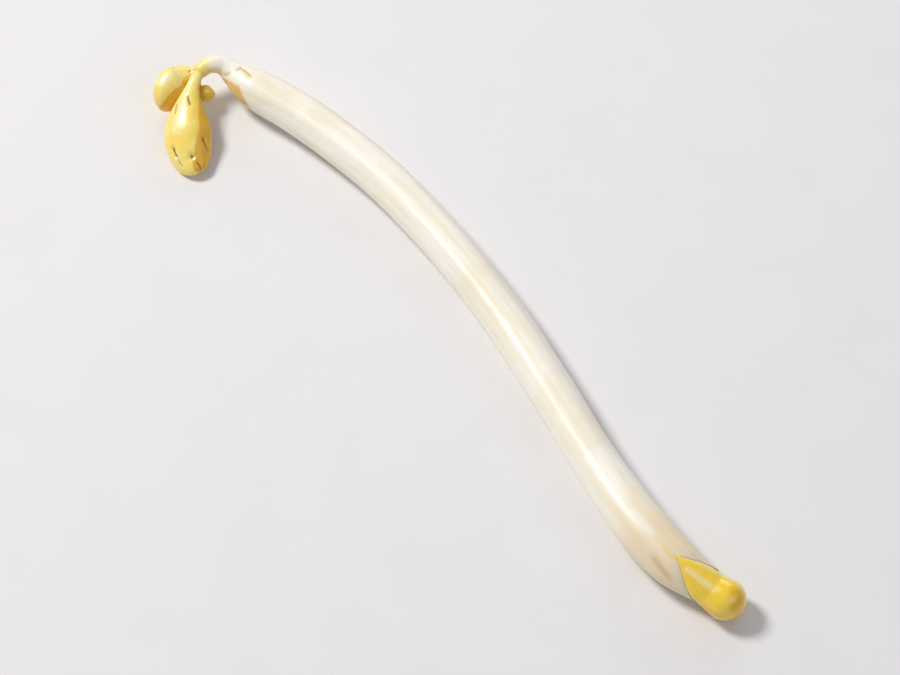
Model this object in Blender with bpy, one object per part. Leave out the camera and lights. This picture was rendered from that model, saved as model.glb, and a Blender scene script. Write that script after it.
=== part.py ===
"""A mung bean sprout, as picked, lying in a shallow bow on a flat surface.

The sprout lies along X, with its seed leaves at the -X end and its root tip at the +X end. The origin
is under the middle of its box, on the surface that it lies on, and +Z is up. Routes and thicknesses
are in millimetres and are scaled to metres when a mesh is made.
"""
import math

import bmesh
import bpy
import numpy as np
from mathutils import Vector

MM = 0.001

# The seat left between two pieces that grow against each other
SEAT_GAP = 0.06

# The middle of the whole sprout, in the coordinates that the routes below are written in
MIDDLE_X = 0.61
MIDDLE_Y = -0.38

# Half thicknesses along the stem
STEM_RADIUS = 1.76
FOOT_RADIUS = 2.03
NECK_RADIUS = 0.70
NODE_RADIUS = 0.64

# How far the underside is pressed flat where the stem carries its weight
REST_FLAT = 0.09

# Root tip: its slim pointed end, the waist at the mouth of the stem, and the round bulb
ROOT_POINT_RADIUS = 0.08
ROOT_WAIST_RADIUS = 1.47
BULB_RADIUS = 1.65

# The front seed leaf: stalk and blade half widths, outer crown and inner side
FRONT_STALK = 0.46
FRONT_HALF_WIDTH = 1.93
FRONT_CROWN = 1.55
FRONT_INNER = 0.55

# The rear seed leaf, shorter and almost without a stalk
REAR_STALK = 0.52
REAR_HALF_WIDTH = 1.78
REAR_CROWN = 1.44
REAR_INNER = 0.50

# The bud: a thread-like stalk and two small folded leaves
BUD_STALK = 0.30
BUD_LEAF_HALF_WIDTH = 0.52
BUD_LEAF_HALF_THICKNESS = 0.34

# Each station of the stem is x, y, the height of its underside above the surface, and its radius
STEM_ROUTE = [
    (-29.92, -0.78, 2.27, NODE_RADIUS),
    (-29.88, -0.30, 2.36, NECK_RADIUS * 0.96),
    (-29.66, 0.18, 2.40, NECK_RADIUS),
    (-29.16, 0.76, 2.12, NECK_RADIUS * 1.05),
    (-28.30, 1.12, 1.45, NECK_RADIUS * 1.45),
    (-27.00, 1.44, 0.75, STEM_RADIUS * 0.82),
    (-25.60, 1.94, 0.40, STEM_RADIUS * 0.94),
    (-23.40, 2.68, 0.18, STEM_RADIUS * 0.98),
    (-19.50, 3.60, 0.02, STEM_RADIUS),
    (-15.00, 4.30, -REST_FLAT * 0.6, STEM_RADIUS),
    (-9.00, 4.55, -REST_FLAT, STEM_RADIUS * 0.99),
    (-3.00, 4.25, -REST_FLAT, STEM_RADIUS * 0.99),
    (3.00, 3.55, -REST_FLAT, STEM_RADIUS),
    (9.00, 2.45, -REST_FLAT * 0.3, STEM_RADIUS),
    (15.00, 1.20, 0.05, STEM_RADIUS),
    (20.00, 0.30, 0.06, STEM_RADIUS * 1.09),
    (24.00, -0.10, 0.06, FOOT_RADIUS),
    (26.80, 0.00, 0.06, FOOT_RADIUS * 0.94),
    (28.50, 0.42, 0.07, FOOT_RADIUS * 0.81),
    (29.60, 0.78, 0.12, FOOT_RADIUS * 0.73),
]

# Each station of the root tip is x, y, the height of its middle, and its radius
ROOT_ROUTE = [
    (27.05, -0.24, 3.90, ROOT_POINT_RADIUS),
    (27.62, -0.10, 3.44, ROOT_WAIST_RADIUS * 0.36),
    (28.35, 0.12, 2.82, ROOT_WAIST_RADIUS * 0.71),
    (29.15, 0.38, 2.22, ROOT_WAIST_RADIUS * 0.93),
    (30.05, 0.66, 1.80, ROOT_WAIST_RADIUS),
    (31.20, 1.00, BULB_RADIUS, BULB_RADIUS),
]

# Each station of a seed leaf is x, y and the height of the rim between its outer and inner side
FRONT_ROUTE = [
    (-29.90, -0.82, 2.88),
    (-29.48, -1.75, 2.86),
    (-28.88, -2.62, 2.55),
    (-28.15, -3.46, 2.00),
    (-27.30, -4.26, 1.36),
    (-26.05, -5.12, 0.78),
    (-24.78, -5.70, 0.52),
    (-23.62, -6.10, 0.72),
]
REAR_ROUTE = [
    (-29.91, -0.80, 2.90),
    (-30.28, -1.45, 2.56),
    (-30.62, -2.30, 2.10),
    (-30.66, -3.20, 1.82),
    (-30.40, -4.15, 1.68),
    (-29.96, -5.10, 1.58),
]

# Where a seed leaf changes, as shares of its length: the end of its plain stalk, the place where each
# leaf reaches its full width, the place where its tip begins to round off, and the end of its turn
STALK_SHARE = 0.10
FRONT_WIDENS_BY = 0.60
REAR_WIDENS_BY = 0.50
ROUNDS_FROM = 0.55
TURNED_BY = 0.40

# The power that a seed leaf's tip rounds off with; 2 would be a plain ellipse
TIP_ROUNDNESS = 2.2

# The power that fills out the inner side of a seed leaf; 1 would be a plain ellipse
INNER_FULLNESS = 0.7

# The stalk's height above and below the rim, and the reach of its base, as shares of its half width
STALK_CROWN = 0.95
STALK_INNER = 0.80
STALK_BASE = 0.60

# The power that gives a bud leaf its pointed outline
BUD_LEAF_POWER = 0.8

# How far the stem's root end and the bulb's end are rounded past their last station
STEM_END_REACH = 0.15
BULB_END_REACH = BULB_RADIUS * 0.98

# The turn of each seed leaf about its own length: 0 lays its inner side flat on the surface
FRONT_ROLL = math.radians(-12)
REAR_ROLL = math.radians(66)

BUD_ROUTE = [
    (-29.90, -0.95, 2.72, BUD_STALK),
    (-29.72, -1.35, 2.25, BUD_STALK),
    (-29.40, -1.58, 1.90, BUD_STALK),
    (-29.00, -1.50, 1.72, BUD_STALK),
]
BUD_LEAF_UPPER = [
    (-29.30, -1.68, 1.95),
    (-28.90, -1.58, 1.92),
    (-28.50, -1.25, 1.80),
    (-28.10, -0.82, 1.58),
]
BUD_LEAF_LOWER = [
    (-29.25, -1.70, 1.70),
    (-28.80, -1.60, 1.42),
    (-28.45, -1.25, 1.26),
    (-28.25, -0.78, 1.22),
]

# Sides round each section
STEM_SIDES = 24
ROOT_SIDES = 20
LEAF_SIDES = 24
BUD_SIDES = 12

# The gap from one section to the next as a share of the radius there, and the least gap
STEM_STEP = 0.75
ROOT_STEP = 0.40
BUD_STEP = 0.80
FINEST_STEP = 0.15

# Sections along a seed leaf, places along a bud leaf, rings in a rounded end, samples of a route
LEAF_SECTIONS = 24
BUD_LEAF_PLACES = 11
CAP_RINGS = 4
ROUTE_SAMPLES = 400

# How much of a leaf's sections are spaced evenly; the rest crowd towards its round tip
EVEN_SHARE = 0.35

# Colour and roughness of the white flesh and of the yellow skins
STEM_WHITE = (0.93, 0.86, 0.72)
ROOT_YELLOW = (0.95, 0.66, 0.06)
FRONT_YELLOW = (0.93, 0.68, 0.09)
REAR_YELLOW = (0.92, 0.66, 0.08)
BUD_YELLOW = (0.93, 0.68, 0.10)
FLESH_ROUGHNESS = 0.35
ROOT_ROUGHNESS = 0.22
LEAF_ROUGHNESS = 0.28
BUD_ROUGHNESS = 0.32


def curve_through(stations, steps):
    """Rows of a smooth curve through the stations, at the given lengths along it."""
    points = np.array(stations, float)
    spans = np.linalg.norm(np.diff(points[:, :3], axis=0), axis=1)
    marks = np.concatenate([[0.0], np.cumsum(spans)])
    slopes = np.diff(points, axis=0) / spans[:, None]
    tangents = np.empty_like(points)
    tangents[0] = slopes[0]
    tangents[-1] = slopes[-1]
    before = spans[:-1, None]
    after = spans[1:, None]
    tangents[1:-1] = (slopes[1:] * before + slopes[:-1] * after) / (before + after)
    rows = []
    for step in steps:
        length = step * marks[-1]
        i = min(int(np.searchsorted(marks, length, side="right")) - 1, len(spans) - 1)
        u = (length - marks[i]) / spans[i]
        rows.append(
            (2 * u**3 - 3 * u**2 + 1) * points[i]
            + (u**3 - 2 * u**2 + u) * spans[i] * tangents[i]
            + (3 * u**2 - 2 * u**3) * points[i + 1]
            + (u**3 - u**2) * spans[i] * tangents[i + 1]
        )
    return np.array(rows)


def steps_by_radius(stations, ratio):
    """Places from 0 to 1 along a route, closer together where it is thin."""
    shares = np.linspace(0, 1, ROUTE_SAMPLES)
    dense = curve_through(stations, shares)
    length = np.linalg.norm(np.diff(dense[:, :3], axis=0), axis=1).sum()
    places = [0.0]
    while places[-1] < 1.0:
        radius = np.interp(places[-1], shares, dense[:, 3])
        places.append(places[-1] + max(radius * ratio, FINEST_STEP) / length)
    return np.array(places) / places[-1]


def frames(centres):
    """The tangent, the level side direction and the up direction at each centre."""
    tangents = np.gradient(centres, axis=0)
    result = []
    for tangent in tangents:
        along = Vector(tangent).normalized()
        side = along.cross(Vector((0, 0, 1))).normalized()
        result.append((along, side, side.cross(along)))
    return result


def section(centre, side, up, half_width, crown, inner, sides, roll):
    """One closed ring: an outer crown above the rim and a flatter inner side below it."""
    turned_side = side * math.cos(roll) + up * math.sin(roll)
    turned_up = up * math.cos(roll) - side * math.sin(roll)
    ring = []
    for k in range(sides):
        angle = 2 * math.pi * k / sides
        rise = math.sin(angle)
        height = crown * rise if rise >= 0 else -inner * abs(rise) ** INNER_FULLNESS
        ring.append(centre + turned_side * (half_width * math.cos(angle)) + turned_up * height)
    return ring


def skin(name, start, rings, end):
    """A closed mesh object over the rings, drawn together to a point at each end."""
    mesh = bmesh.new()

    def vertex(point):
        lifted = max(point[2], 0.0)
        return mesh.verts.new(((point[0] - MIDDLE_X) * MM, (point[1] - MIDDLE_Y) * MM, lifted * MM))

    loops = [[vertex(point) for point in ring] for ring in rings]
    first = vertex(start)
    last = vertex(end)
    sides = len(rings[0])
    for k in range(sides):
        after = (k + 1) % sides
        mesh.faces.new((first, loops[0][after], loops[0][k]))
        mesh.faces.new((last, loops[-1][k], loops[-1][after]))
        for lower, upper in zip(loops, loops[1:]):
            mesh.faces.new((lower[k], lower[after], upper[after], upper[k]))
    bmesh.ops.recalc_face_normals(mesh, faces=mesh.faces)
    data = bpy.data.meshes.new(name)
    mesh.to_mesh(data)
    mesh.free()
    data.shade_smooth()
    piece = bpy.data.objects.new(name, data)
    bpy.context.collection.objects.link(piece)
    return piece


def round_section(centre, side, up, radius, sides):
    """A plain round ring."""
    return [
        centre
        + side * (radius * math.cos(2 * math.pi * k / sides))
        + up * (radius * math.sin(2 * math.pi * k / sides))
        for k in range(sides)
    ]


def tube(name, stations, sides, ratio, start_reach, end_reach, grow=0.0):
    """A round piece along a route of x, y, z and radius, with a rounded cap at each end."""
    rows = curve_through(stations, steps_by_radius(stations, ratio))
    axes = frames(rows[:, :3])
    centres = [Vector(row[:3]) for row in rows]
    radii = rows[:, 3] + grow
    rings = [round_section(c, axis[1], axis[2], r, sides) for c, axis, r in zip(centres, axes, radii)]

    def cap(index, direction, reach):
        along, side, up = axes[index]
        closing = []
        for j in range(1, CAP_RINGS):
            angle = 0.5 * math.pi * j / CAP_RINGS
            place = centres[index] + along * (direction * (reach + grow) * math.sin(angle))
            closing.append(round_section(place, side, up, radii[index] * math.cos(angle), sides))
        return closing, centres[index] + along * (direction * (reach + grow))

    start_rings, start = cap(0, -1, start_reach)
    end_rings, end = cap(-1, 1, end_reach)
    return skin(name, start, start_rings[::-1] + rings + end_rings, end)


def ease(value):
    """A smooth rise from 0 to 1 as the value goes from 0 to 1."""
    inside = min(max(value, 0.0), 1.0)
    return inside * inside * (3 - 2 * inside)


def leaf_size(place, stalk, full, widens_by):
    """The size of a seed leaf at a place from 0 at its base to 1 at its tip: a stalk, then a teardrop."""
    size = stalk + (full - stalk) * ease((place - STALK_SHARE) / (widens_by - STALK_SHARE))
    closing = max(0.0, (place - ROUNDS_FROM) / (1 - ROUNDS_FROM))
    return size * max(1 - closing**TIP_ROUNDNESS, 0.0) ** (1 / TIP_ROUNDNESS)


def seed_leaf(name, route, stalk, half_width, crown, inner, widens_by, roll, grow=0.0):
    """Half a bean on its stalk: a rounded outer side, a flatter inner side and a rim between them."""
    bends = np.linspace(0, 1, LEAF_SECTIONS)
    places = EVEN_SHARE * bends + (1 - EVEN_SHARE) * np.sin(0.5 * math.pi * bends)
    rows = curve_through(route, places)
    axes = frames(rows)
    rings = []
    for place, row, (along, side, up) in list(zip(places, rows, axes))[:-1]:
        sizes = [
            leaf_size(place, stalk * share, full, widens_by) + grow
            for share, full in ((1.0, half_width), (STALK_CROWN, crown), (STALK_INNER, inner))
        ]
        turn = roll * ease(place / TURNED_BY)
        rings.append(section(Vector(row), side, up, *sizes, LEAF_SIDES, turn))
    start = Vector(rows[0]) - axes[0][0] * (stalk * STALK_BASE + grow)
    end = Vector(rows[-1]) + axes[-1][0] * grow
    return skin(name, start, rings, end)


def bud_leaf(name, route):
    """One small folded leaf of the bud, pointed at its tip."""
    places = np.linspace(0, 1, BUD_LEAF_PLACES)
    rows = curve_through(route, places)
    axes = frames(rows)
    rings = []
    for place, row, (along, side, up) in list(zip(places, rows, axes))[1:-1]:
        swell = math.sin(math.pi * place**BUD_LEAF_POWER) ** BUD_LEAF_POWER
        width = BUD_LEAF_HALF_WIDTH * swell
        thick = BUD_LEAF_HALF_THICKNESS * swell
        rings.append(section(Vector(row), side, up, width, thick, thick, BUD_SIDES, 0.0))
    return skin(name, Vector(rows[0]), rings, Vector(rows[-1]))


def hide_tool(tool):
    """Marks an object as a cutter or helper that isn't part of the sprout."""
    tool.hide_render = True
    tool.display_type = "WIRE"


def combine(piece, tool, operation):
    """Joins or cuts a piece with a hidden helper object."""
    hide_tool(tool)
    modifier = piece.modifiers.new(operation.title() + " " + tool.name, "BOOLEAN")
    modifier.operation = operation
    modifier.solver = "EXACT"
    modifier.object = tool


def finish(piece, colour, roughness):
    """Gives a piece its own waxy plant material."""
    material = bpy.data.materials.new(piece.name)
    material.use_nodes = True
    shader = material.node_tree.nodes["Principled BSDF"]
    shader.inputs["Base Color"].default_value = (*colour, 1.0)
    shader.inputs["Roughness"].default_value = roughness
    shader.inputs["Metallic"].default_value = 0.0
    piece.data.materials.append(material)


def stem_stations():
    """The stem's route with the height of its middle in place of the height of its underside."""
    return [(x, y, lift + radius, radius) for x, y, lift, radius in STEM_ROUTE]


def make_stem(name, grow=0.0):
    """The white stem with its hooked neck, rounded at the seed leaves and blunt at the root."""
    return tube(name, stem_stations(), STEM_SIDES, STEM_STEP, NODE_RADIUS, STEM_END_REACH, grow)


def make_root(name, grow=0.0):
    """The yellow root tip."""
    return tube(name, ROOT_ROUTE, ROOT_SIDES, ROOT_STEP, ROOT_POINT_RADIUS, BULB_END_REACH, grow)


def make_front_leaf(name, grow=0.0):
    """The seed leaf that hangs in front."""
    sizes = (FRONT_STALK, FRONT_HALF_WIDTH, FRONT_CROWN, FRONT_INNER)
    return seed_leaf(name, FRONT_ROUTE, *sizes, FRONT_WIDENS_BY, FRONT_ROLL, grow)


def make_rear_leaf(name, grow=0.0):
    """The seed leaf behind."""
    sizes = (REAR_STALK, REAR_HALF_WIDTH, REAR_CROWN, REAR_INNER)
    return seed_leaf(name, REAR_ROUTE, *sizes, REAR_WIDENS_BY, REAR_ROLL, grow)


def make_bud(name, grow=0.0):
    """The stalk of the bud; its two small leaves are joined to it afterwards."""
    return tube(name, BUD_ROUTE, BUD_SIDES, BUD_STEP, BUD_STALK, BUD_STALK, grow)


def main():
    """Builds the five pieces of the sprout."""
    for old in list(bpy.data.objects):
        bpy.data.objects.remove(old, do_unlink=True)

    stem = make_stem("stem")
    combine(stem, make_root("root_seat", SEAT_GAP), "DIFFERENCE")
    root_tip = make_root("root_tip")

    neck_seat = make_stem("neck_seat", SEAT_GAP)
    front = make_front_leaf("seed_leaf_front")
    front_seat = make_front_leaf("front_seat", SEAT_GAP)
    combine(front, neck_seat, "DIFFERENCE")

    bud = make_bud("shoot_bud")
    combine(bud, bud_leaf("bud_leaf_upper", BUD_LEAF_UPPER), "UNION")
    combine(bud, bud_leaf("bud_leaf_lower", BUD_LEAF_LOWER), "UNION")
    combine(bud, neck_seat, "DIFFERENCE")
    combine(bud, front_seat, "DIFFERENCE")

    rear = make_rear_leaf("seed_leaf_rear")
    combine(rear, neck_seat, "DIFFERENCE")
    combine(rear, front_seat, "DIFFERENCE")
    combine(rear, make_bud("bud_seat", SEAT_GAP), "DIFFERENCE")

    finish(stem, STEM_WHITE, FLESH_ROUGHNESS)
    finish(root_tip, ROOT_YELLOW, ROOT_ROUGHNESS)
    finish(front, FRONT_YELLOW, LEAF_ROUGHNESS)
    finish(rear, REAR_YELLOW, LEAF_ROUGHNESS)
    finish(bud, BUD_YELLOW, BUD_ROUGHNESS)


main()
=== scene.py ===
"""The looks of a mung bean sprout that lies in a shallow bow on a pale floor.

Each piece is drawn as a straight form along +X, ring by ring, is finished there, and is then bent
along the same route as the solid it stands for. Routes and sizes are in millimetres; meshes are in
metres. Every finished mesh stores where each point sat on its straight form, so that fibres and
stains follow the plant's growth round every bend.
"""
import logging
import math
from dataclasses import dataclass, field
from enum import Enum
from typing import Callable, Optional, Sequence

import bpy
import numpy as np
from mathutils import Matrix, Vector
from mathutils.kdtree import KDTree


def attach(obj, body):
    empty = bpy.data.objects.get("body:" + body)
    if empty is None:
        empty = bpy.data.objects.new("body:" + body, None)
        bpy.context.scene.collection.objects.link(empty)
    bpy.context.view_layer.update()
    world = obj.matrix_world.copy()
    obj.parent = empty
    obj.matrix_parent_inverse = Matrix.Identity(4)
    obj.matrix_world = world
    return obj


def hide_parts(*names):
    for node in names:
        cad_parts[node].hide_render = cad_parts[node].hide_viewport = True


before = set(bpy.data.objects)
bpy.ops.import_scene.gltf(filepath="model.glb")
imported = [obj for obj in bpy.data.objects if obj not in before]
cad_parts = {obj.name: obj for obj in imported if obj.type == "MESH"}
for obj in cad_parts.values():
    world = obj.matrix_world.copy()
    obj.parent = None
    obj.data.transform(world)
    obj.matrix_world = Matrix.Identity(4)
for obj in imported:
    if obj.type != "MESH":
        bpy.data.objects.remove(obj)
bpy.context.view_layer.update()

LOG = logging.getLogger("sprout")
BODY = "root"

MM = 0.001
# The middle of the whole sprout, in the coordinates that the routes are written in
MIDDLE = (0.61, -0.38, 0.0)
# How far a guide runs on past each end of its route
GUIDE_LEAD = 2.5
# The share of a route's length over which its turn is reached
TURN_SHARE = 0.4
# How close vertices lie to a pole of the straight form, in metres
POLE_REACH = 1e-7
# The smallest ring of a rounded end, as a share of the full one
POLE_SHARE = 0.04
# How much of a mark's width is pressed whole
PRESSED_SHARE = 0.3
# Below this sine of the angle round it, a point of a seed leaf lies on the rim
RIM_SINE = 1e-3
# Between which values of the fibres a broken wash fades in
BREAK_RANGE = (-1.2, 0.6)

Points = Sequence[Sequence[float]]
Places = tuple[tuple[float, float], ...]


class Press(Enum):
    """What a mark does to the skin that it lies in."""

    PIT = "pit"
    CREASE = "crease"
    SWELL = "swell"


class Lamp(Enum):
    """The kinds of lamp in the studio."""

    KEY = "key"
    FILL = "fill"
    RIM = "rim"


class Effect(Enum):
    """The effects that draw a pattern in a skin."""

    FIBRES = "fibres"
    MOTTLE = "mottle"


@dataclass(frozen=True)
class Mark:
    """A short line pressed into a skin, or raised from it.

    Each place is the distance along the route in millimetres and the angle round it in degrees,
    where 0 is the right side and 90 is the crown. The tail is the width at the last place as a
    share of the width at the first, and the stain is how brown the mark is, from 0 to 1.
    """

    kind: Press
    places: Places
    width: float
    depth: float
    tail: float = 1.0
    stain: float = 0.9


@dataclass(frozen=True)
class Streak:
    """A soft line of colour on a skin, with its places and its tail given as a mark's are."""

    places: Places
    width: float
    strength: float
    tail: float = 1.0


@dataclass(frozen=True)
class Ring:
    """One section of a straight form: where it is, its half width and its half height."""

    at: float
    half_width: float
    half_height: float


def ease(values: np.ndarray) -> np.ndarray:
    """Rises smoothly from 0 to 1 as the values go from 0 to 1."""
    inside = np.clip(values, 0.0, 1.0)
    return inside * inside * (3 - 2 * inside)


@dataclass(frozen=True)
class Fade:
    """A smooth rise from 0 at the start to its share at the end, which may be the lower value."""

    start: float
    end: float
    share: float = 1.0

    def of(self, values: np.ndarray) -> np.ndarray:
        """How far the fade has risen at each value."""
        return self.share * ease((values - self.start) / (self.end - self.start))


def tint(code: str) -> tuple[float, float, float, float]:
    """A colour written as six hexadecimal digits, as linear red, green, blue and alpha."""
    parts = [int(code[i : i + 2], 16) / 255 for i in (0, 2, 4)]
    linear = [p / 12.92 if p <= 0.04045 else ((p + 0.055) / 1.055) ** 2.4 for p in parts]
    return (linear[0], linear[1], linear[2], 1.0)


class Route:
    """A smooth line through given stations, with a turn about itself."""

    def __init__(self, stations: Points, roll: float = 0.0, samples: int = 600) -> None:
        """Draws the line.

        Args:
            stations: x, y, z and, where the route has one, the radius at each station.
            roll: the full turn about the line, which is reached early on it.
            samples: how many points stand for the smooth line.
        """
        self.places = np.linspace(0, 1, samples)
        self.rows = self._rows(np.array(stations, float))
        self.line = self.rows[:, :3] - np.array(MIDDLE)
        steps = np.linalg.norm(np.diff(self.line, axis=0), axis=1)
        self.marks = np.concatenate([[0.0], np.cumsum(steps)])
        self.rolls = roll * Fade(0.0, TURN_SHARE).of(self.places)
        self.along = np.gradient(self.line, axis=0)
        self.along /= np.linalg.norm(self.along, axis=1)[:, None]
        side = np.cross(self.along, [0.0, 0.0, 1.0])
        side /= np.linalg.norm(side, axis=1)[:, None]
        up = np.cross(side, self.along)
        cos, sin = np.cos(self.rolls)[:, None], np.sin(self.rolls)[:, None]
        self.side = side * cos + up * sin
        self.up = up * cos - side * sin

    @property
    def length(self) -> float:
        """The length of the line in millimetres."""
        return float(self.marks[-1])

    def _rows(self, points: np.ndarray) -> np.ndarray:
        """A cubic curve through the points, sampled evenly along its chords."""
        spans = np.linalg.norm(np.diff(points[:, :3], axis=0), axis=1)
        chords = np.concatenate([[0.0], np.cumsum(spans)])
        slopes = np.diff(points, axis=0) / spans[:, None]
        tangents = np.empty_like(points)
        tangents[0], tangents[-1] = slopes[0], slopes[-1]
        before, after = spans[:-1, None], spans[1:, None]
        tangents[1:-1] = (slopes[1:] * before + slopes[:-1] * after) / (before + after)
        rows = []
        for length in self.places * chords[-1]:
            i = min(int(np.searchsorted(chords, length, side="right")) - 1, len(spans) - 1)
            u = (length - chords[i]) / spans[i]
            rows.append(
                (2 * u**3 - 3 * u**2 + 1) * points[i]
                + (u**3 - 2 * u**2 + u) * spans[i] * tangents[i]
                + (3 * u**2 - 2 * u**3) * points[i + 1]
                + (u**3 - u**2) * spans[i] * tangents[i + 1]
            )
        return np.array(rows)

    def distance_at(self, place: float) -> float:
        """The distance along the line at a place from 0 to 1."""
        return float(np.interp(place, self.places, self.marks))

    def radius_at(self, distance: float) -> float:
        """The radius of a route that has one, at a distance along it."""
        return float(np.interp(distance, self.marks, self.rows[:, 3]))

    def guide(self, name: str) -> bpy.types.Object:
        """A curve object that a straight form can be bent along.

        Args:
            name: the name of the curve.

        Returns:
            The curve, which runs on straight past both ends.
        """
        first = self.line[0] - self.along[0] * GUIDE_LEAD
        last = self.line[-1] + self.along[-1] * GUIDE_LEAD
        points = np.vstack([first, self.line, last]) * MM
        rolls = np.concatenate([[self.rolls[0]], self.rolls, [self.rolls[-1]]])
        data = bpy.data.curves.new(name, "CURVE")
        data.dimensions = "3D"
        data.twist_mode = "Z_UP"
        data.use_radius = False
        spline = data.splines.new("POLY")
        spline.points.add(len(points) - 1)
        for knot, point, roll in zip(spline.points, points, rolls):
            knot.co = (*point, 1.0)
            knot.tilt = -roll
        curve = bpy.data.objects.new(name, data)
        bpy.context.collection.objects.link(curve)
        return curve

    def locate(self, points: np.ndarray) -> np.ndarray:
        """Where points in metres sit on the straight form.

        Args:
            points: one row for each point.

        Returns:
            For each point, its distance along the line and its offsets to the side and up, in mm.
        """
        tree = KDTree(len(self.line))
        for index, knot in enumerate(self.line):
            tree.insert(knot, index)
        tree.balance()
        nearest = np.array([tree.find(point)[1] for point in points / MM])
        offset = points / MM - self.line[nearest]
        along = self.marks[nearest] + (offset * self.along[nearest]).sum(1)
        side = (offset * self.side[nearest]).sum(1)
        up = (offset * self.up[nearest]).sum(1)
        return np.stack([along, side, up], axis=1)

    def ray(self, along: float, angle: float) -> tuple[Vector, Vector]:
        """A ray from the line outward.

        Args:
            along: the distance along the line in mm.
            angle: the angle round it in degrees, 0 to the side and 90 up.

        Returns:
            Where the ray starts, in metres, and its direction.
        """
        index = int(np.argmin(np.abs(self.marks - along)))
        turn = math.radians(angle)
        direction = self.side[index] * math.cos(turn) + self.up[index] * math.sin(turn)
        return Vector(self.line[index] * MM), Vector(direction)


def select_only(piece: bpy.types.Object) -> None:
    """Selects one object, and nothing else, and makes it the active one."""
    bpy.ops.object.select_all(action="DESELECT")
    piece.select_set(True)
    bpy.context.view_layer.objects.active = piece


def vertex_rows(piece: bpy.types.Object, what: str = "co") -> np.ndarray:
    """One row for each vertex of a piece: its place in metres, or its normal."""
    flat = np.empty(len(piece.data.vertices) * 3)
    piece.data.vertices.foreach_get(what, flat)
    return flat.reshape(-1, 3)


def select_vertices(piece: bpy.types.Object, chosen: np.ndarray) -> None:
    """Selects the vertices for which the mask is true, and no face or edge beside them."""
    mesh = piece.data
    for parts in (mesh.polygons, mesh.edges):
        parts.foreach_set("select", np.zeros(len(parts), bool))
    mesh.vertices.foreach_set("select", np.asarray(chosen, bool))


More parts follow.
